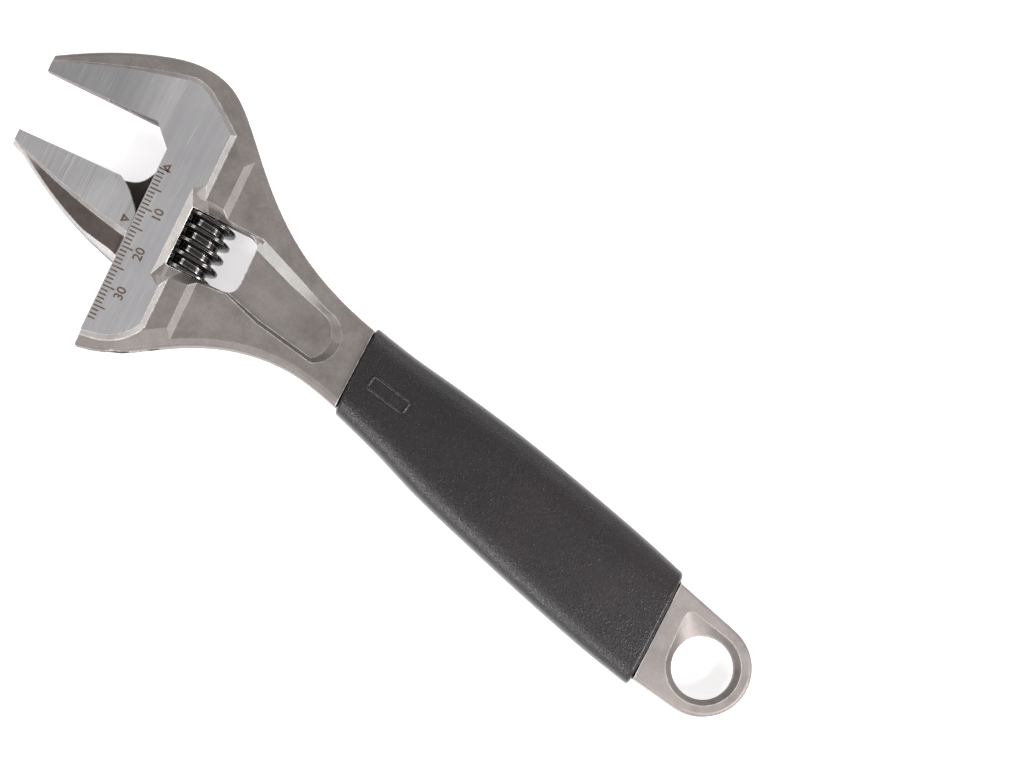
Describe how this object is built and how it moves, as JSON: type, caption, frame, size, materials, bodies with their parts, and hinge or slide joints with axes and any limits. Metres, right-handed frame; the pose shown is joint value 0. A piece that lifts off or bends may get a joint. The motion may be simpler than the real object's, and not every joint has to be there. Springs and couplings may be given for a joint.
{
  "type": "adjustable wrench",
  "caption": "Adjustable wrench with a wide thin-jaw opening, a worm that moves the lower jaw along a rack, and a moulded grip with a hang hole behind it.",
  "frame": {"origin": "axis of the hang hole at mid thickness", "axes": "+X along the handle towards the jaws, +Y towards the side that the movable jaw opens to, +Z out of the scale face"},
  "size_m": [0.2169, 0.0689, 0.0134],
  "materials": {
    "forged_steel": "matt forged steel with ground faces",
    "jaw_steel": "matt forged steel with ground faces",
    "worm_steel": "glossy black oxide",
    "pin_steel": "plain",
    "spring_steel": "bright",
    "grip_plastic": "fine-grained soft thermoplastic"
  },
  "bodies": {
    "frame": {"body": "forged_steel", "grip": "grip_plastic", "worm_pin": "pin_steel", "worm_spring": "spring_steel"},
    "jaw": {"movable_jaw": "jaw_steel"},
    "knurl": {"worm": "worm_steel"}
  },
  "joints": [
    {"name": "jaw_slide", "type": "slide", "parent": "frame", "child": "jaw", "axis": [-0.2689, 0.9632, 0], "range_m": [-0.0149, 0.023]},
    {"name": "worm_spin", "type": "hinge", "parent": "frame", "child": "knurl", "pos_m": [0.15123, 0.00277, 0], "axis": [-0.2689, 0.9632, 0], "range_deg": [-1640, 2520]}
  ],
  "couplings": [
    {"joint": "worm_spin", "follows": "jaw_slide", "rad_per_m": 1904}
  ]
}
